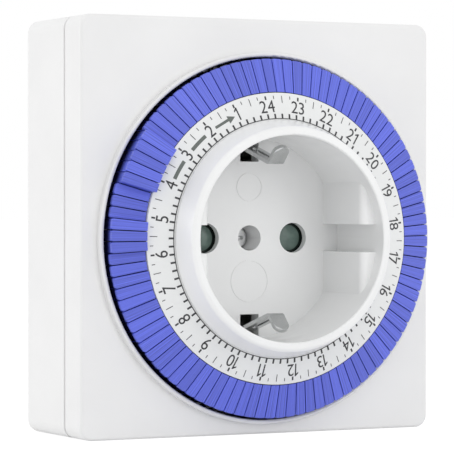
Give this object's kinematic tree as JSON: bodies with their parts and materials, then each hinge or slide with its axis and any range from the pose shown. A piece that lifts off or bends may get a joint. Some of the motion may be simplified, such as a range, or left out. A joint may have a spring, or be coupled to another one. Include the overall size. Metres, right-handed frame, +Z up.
{
  "type": "plug-in timer switch",
  "caption": "White plug-in 24-hour socket timer: scale ring with blue quarter-hour segments round a round earthed socket, plug with two pins and override slider.",
  "frame": {"origin": "centre of the plug's contact face, between the two pins", "axes": "+Y along the plug pins to the rear, -Y towards the user, +Z up; the dial turns about the Y axis"},
  "size_m": [0.0753, 0.073, 0.0789],
  "materials": {
    "housing_white": "smooth moulded, semi-gloss",
    "socket_white": "smooth moulded, semi-gloss",
    "dial_white": "smooth moulded with printed numerals",
    "segment_blue": "smooth moulded",
    "slider_blue": "smooth moulded",
    "shutter_grey": "satin",
    "gear_plastic": "natural acetal",
    "lever_plastic": "satin",
    "switch_black": "satin",
    "carrier_plastic": "satin",
    "steel": "zinc plated",
    "clip_steel": "rolled spring strip",
    "pin_plated": "nickel plated brass",
    "contact_brass": "stamped strip",
    "wire_brown": "insulated wire",
    "wire_blue": "insulated wire"
  },
  "bodies": {
    "housing": {"front_cover": "housing_white", "rear_housing": "housing_white", "socket_cup": "socket_white", "idler_axle": "steel", "motor_plate": "steel", "motor_can": "steel", "lever_pin": "steel", "switch_case": "switch_black", "switch_terminals": "contact_brass", "contact_carrier": "carrier_plastic", "shutter_spring": "steel", "live_pin": "pin_plated", "neutral_pin": "pin_plated", "live_contact": "contact_brass", "neutral_contact": "contact_brass", "earth_yoke": "contact_brass", "switch_leads": "wire_brown", "motor_leads": "wire_blue", "housing_screws": "steel", "centre_screw": "steel"},
    "dial": {"dial_ring": "dial_white", "dial_gear": "gear_plastic"},
    "idler": {"idler_gear": "gear_plastic"},
    "pinion": {"motor_pinion": "gear_plastic"},
    "slider": {"override_slider": "slider_blue"},
    "lever": {"follower_lever": "lever_plastic"},
    "plunger": {"switch_plunger": "lever_plastic"},
    "shutter": {"pin_shutter": "shutter_grey"},
    "clip_upper": {"earth_clip_upper": "clip_steel"},
    "clip_lower": {"earth_clip_lower": "clip_steel"},
    "hour_00": {"segments_hour_00": "segment_blue"},
    "hour_01": {"segments_hour_01": "segment_blue"},
    "hour_02": {"segments_hour_02": "segment_blue"},
    "quarter_03_00": {"segment_03_00": "segment_blue"},
    "quarter_03_15": {"segment_03_15": "segment_blue"},
    "quarter_03_30": {"segment_03_30": "segment_blue"},
    "quarter_03_45": {"segment_03_45": "segment_blue"},
    "quarter_04_00": {"segment_04_00": "segment_blue"},
    "quarter_04_15": {"segment_04_15": "segment_blue"},
    "quarter_04_30": {"segment_04_30": "segment_blue"},
    "quarter_04_45": {"segment_04_45": "segment_blue"},
    "hour_05": {"segments_hour_05": "segment_blue"},
    "hour_06": {"segments_hour_06": "segment_blue"},
    "hour_07": {"segments_hour_07": "segment_blue"},
    "hour_08": {"segments_hour_08": "segment_blue"},
    "hour_09": {"segments_hour_09": "segment_blue"},
    "hour_10": {"segments_hour_10": "segment_blue"},
    "hour_11": {"segments_hour_11": "segment_blue"},
    "hour_12": {"segments_hour_12": "segment_blue"},
    "hour_13": {"segments_hour_13": "segment_blue"},
    "hour_14": {"segments_hour_14": "segment_blue"},
    "hour_15": {"segments_hour_15": "segment_blue"},
    "hour_16": {"segments_hour_16": "segment_blue"},
    "hour_17": {"segments_hour_17": "segment_blue"},
    "hour_18": {"segments_hour_18": "segment_blue"},
    "hour_19": {"segments_hour_19": "segment_blue"},
    "hour_20": {"segments_hour_20": "segment_blue"},
    "hour_21": {"segments_hour_21": "segment_blue"},
    "hour_22": {"segments_hour_22": "segment_blue"},
    "hour_23": {"segments_hour_23": "segment_blue"}
  },
  "joints": [
    {"name": "dial_turn", "type": "hinge", "parent": "housing", "child": "dial", "pos_m": [0, -0.0384, 0], "axis": [0, 1, 0], "continuous": true},
    {"name": "idler_turn", "type": "hinge", "parent": "housing", "child": "idler", "pos_m": [-0.01417, -0.0308, 0.03113], "axis": [0, 1, 0], "continuous": true},
    {"name": "pinion_turn", "type": "hinge", "parent": "housing", "child": "pinion", "pos_m": [-0.02295, -0.0288, 0.02594], "axis": [0, 1, 0], "continuous": true},
    {"name": "slider_slide", "type": "slide", "parent": "housing", "child": "slider", "axis": [0, 0, -1], "range_m": [0, 0.003]},
    {"name": "lever_tilt", "type": "hinge", "parent": "housing", "child": "lever", "pos_m": [0.02884, -0.03215, -0.02253], "axis": [-0.6157, 0, -0.788], "range_deg": [0, 9.3]},
    {"name": "plunger_press", "type": "slide", "parent": "housing", "child": "plunger", "axis": [0, 1, 0], "range_m": [0, 0.0006]},
    {"name": "shutter_turn", "type": "hinge", "parent": "housing", "child": "shutter", "pos_m": [0, -0.0343, 0], "axis": [0, 1, 0], "range_deg": [0, 42], "stiffness_Nm_per_rad": 0.002, "springref_deg": -28.65},
    {"name": "clip_upper_flex", "type": "hinge", "parent": "housing", "child": "clip_upper", "pos_m": [0, -0.0293, 0.0183], "axis": [-1, 0, 0], "range_deg": [0, 2.2], "stiffness_Nm_per_rad": 2},
    {"name": "clip_lower_flex", "type": "hinge", "parent": "housing", "child": "clip_lower", "pos_m": [0, -0.0293, -0.0183], "axis": [1, 0, 0], "range_deg": [0, 2.2], "stiffness_Nm_per_rad": 2},
    {"name": "hour_00_slide", "type": "slide", "parent": "dial", "child": "hour_00", "axis": [0, -1, 0], "range_m": [-0.0005, 0.0019]},
    {"name": "hour_01_slide", "type": "slide", "parent": "dial", "child": "hour_01", "axis": [0, -1, 0], "range_m": [-0.0005, 0.0019]},
    {"name": "hour_02_slide", "type": "slide", "parent": "dial", "child": "hour_02", "axis": [0, -1, 0], "range_m": [-0.0005, 0.0019]},
    {"name": "quarter_03_00_slide", "type": "slide", "parent": "dial", "child": "quarter_03_00", "axis": [0, -1, 0], "range_m": [-0.0005, 0.0019]},
    {"name": "quarter_03_15_slide", "type": "slide", "parent": "dial", "child": "quarter_03_15", "axis": [0, -1, 0], "range_m": [-0.0024, 0]},
    {"name": "quarter_03_30_slide", "type": "slide", "parent": "dial", "child": "quarter_03_30", "axis": [0, -1, 0], "range_m": [-0.0024, 0]},
    {"name": "quarter_03_45_slide", "type": "slide", "parent": "dial", "child": "quarter_03_45", "axis": [0, -1, 0], "range_m": [-0.0024, 0]},
    {"name": "quarter_04_00_slide", "type": "slide", "parent": "dial", "child": "quarter_04_00", "axis": [0, -1, 0], "range_m": [-0.0024, 0]},
    {"name": "quarter_04_15_slide", "type": "slide", "parent": "dial", "child": "quarter_04_15", "axis": [0, -1, 0], "range_m": [-0.0024, 0]},
    {"name": "quarter_04_30_slide", "type": "slide", "parent": "dial", "child": "quarter_04_30", "axis": [0, -1, 0], "range_m": [0, 0.0024]},
    {"name": "quarter_04_45_slide", "type": "slide", "parent": "dial", "child": "quarter_04_45", "axis": [0, -1, 0], "range_m": [0, 0.0024]},
    {"name": "hour_05_slide", "type": "slide", "parent": "dial", "child": "hour_05", "axis": [0, -1, 0], "range_m": [0, 0.0011]},
    {"name": "hour_06_slide", "type": "slide", "parent": "dial", "child": "hour_06", "axis": [0, -1, 0], "range_m": [-0.0002, 0.0019]},
    {"name": "hour_07_slide", "type": "slide", "parent": "dial", "child": "hour_07", "axis": [0, -1, 0], "range_m": [-0.0003, 0.0019]},
    {"name": "hour_08_slide", "type": "slide", "parent": "dial", "child": "hour_08", "axis": [0, -1, 0], "range_m": [-0.0005, 0.0019]},
    {"name": "hour_09_slide", "type": "slide", "parent": "dial", "child": "hour_09", "axis": [0, -1, 0], "range_m": [-0.0005, 0.0019]},
    {"name": "hour_10_slide", "type": "slide", "parent": "dial", "child": "hour_10", "axis": [0, -1, 0], "range_m": [-0.0005, 0.0019]},
    {"name": "hour_11_slide", "type": "slide", "parent": "dial", "child": "hour_11", "axis": [0, -1, 0], "range_m": [-0.0005, 0.0019]},
    {"name": "hour_12_slide", "type": "slide", "parent": "dial", "child": "hour_12", "axis": [0, -1, 0], "range_m": [-0.0005, 0.0019]},
    {"name": "hour_13_slide", "type": "slide", "parent": "dial", "child": "hour_13", "axis": [0, -1, 0], "range_m": [-0.0005, 0.0019]},
    {"name": "hour_14_slide", "type": "slide", "parent": "dial", "child": "hour_14", "axis": [0, -1, 0], "range_m": [-0.0005, 0.0019]},
    {"name": "hour_15_slide", "type": "slide", "parent": "dial", "child": "hour_15", "axis": [0, -1, 0], "range_m": [-0.0005, 0.0019]},
    {"name": "hour_16_slide", "type": "slide", "parent": "dial", "child": "hour_16", "axis": [0, -1, 0], "range_m": [-0.0005, 0.0019]},
    {"name": "hour_17_slide", "type": "slide", "parent": "dial", "child": "hour_17", "axis": [0, -1, 0], "range_m": [-0.0005, 0.0019]},
    {"name": "hour_18_slide", "type": "slide", "parent": "dial", "child": "hour_18", "axis": [0, -1, 0], "range_m": [-0.0005, 0.0019]},
    {"name": "hour_19_slide", "type": "slide", "parent": "dial", "child": "hour_19", "axis": [0, -1, 0], "range_m": [-0.0005, 0.0019]},
    {"name": "hour_20_slide", "type": "slide", "parent": "dial", "child": "hour_20", "axis": [0, -1, 0], "range_m": [-0.0005, 0.0019]},
    {"name": "hour_21_slide", "type": "slide", "parent": "dial", "child": "hour_21", "axis": [0, -1, 0], "range_m": [-0.0005, 0.0019]},
    {"name": "hour_22_slide", "type": "slide", "parent": "dial", "child": "hour_22", "axis": [0, -1, 0], "range_m": [-0.0005, 0.0019]},
    {"name": "hour_23_slide", "type": "slide", "parent": "dial", "child": "hour_23", "axis": [0, -1, 0], "range_m": [-0.0005, 0.0019]}
  ],
  "couplings": [
    {"joint": "idler_turn", "follows": "dial_turn", "ratio": -5.3333},
    {"joint": "pinion_turn", "follows": "dial_turn", "ratio": 12.8},
    {"joint": "lever_tilt", "follows": "slider_slide", "rad_per_m": 53.333},
    {"joint": "plunger_press", "follows": "slider_slide", "ratio": 0.187}
  ]
}
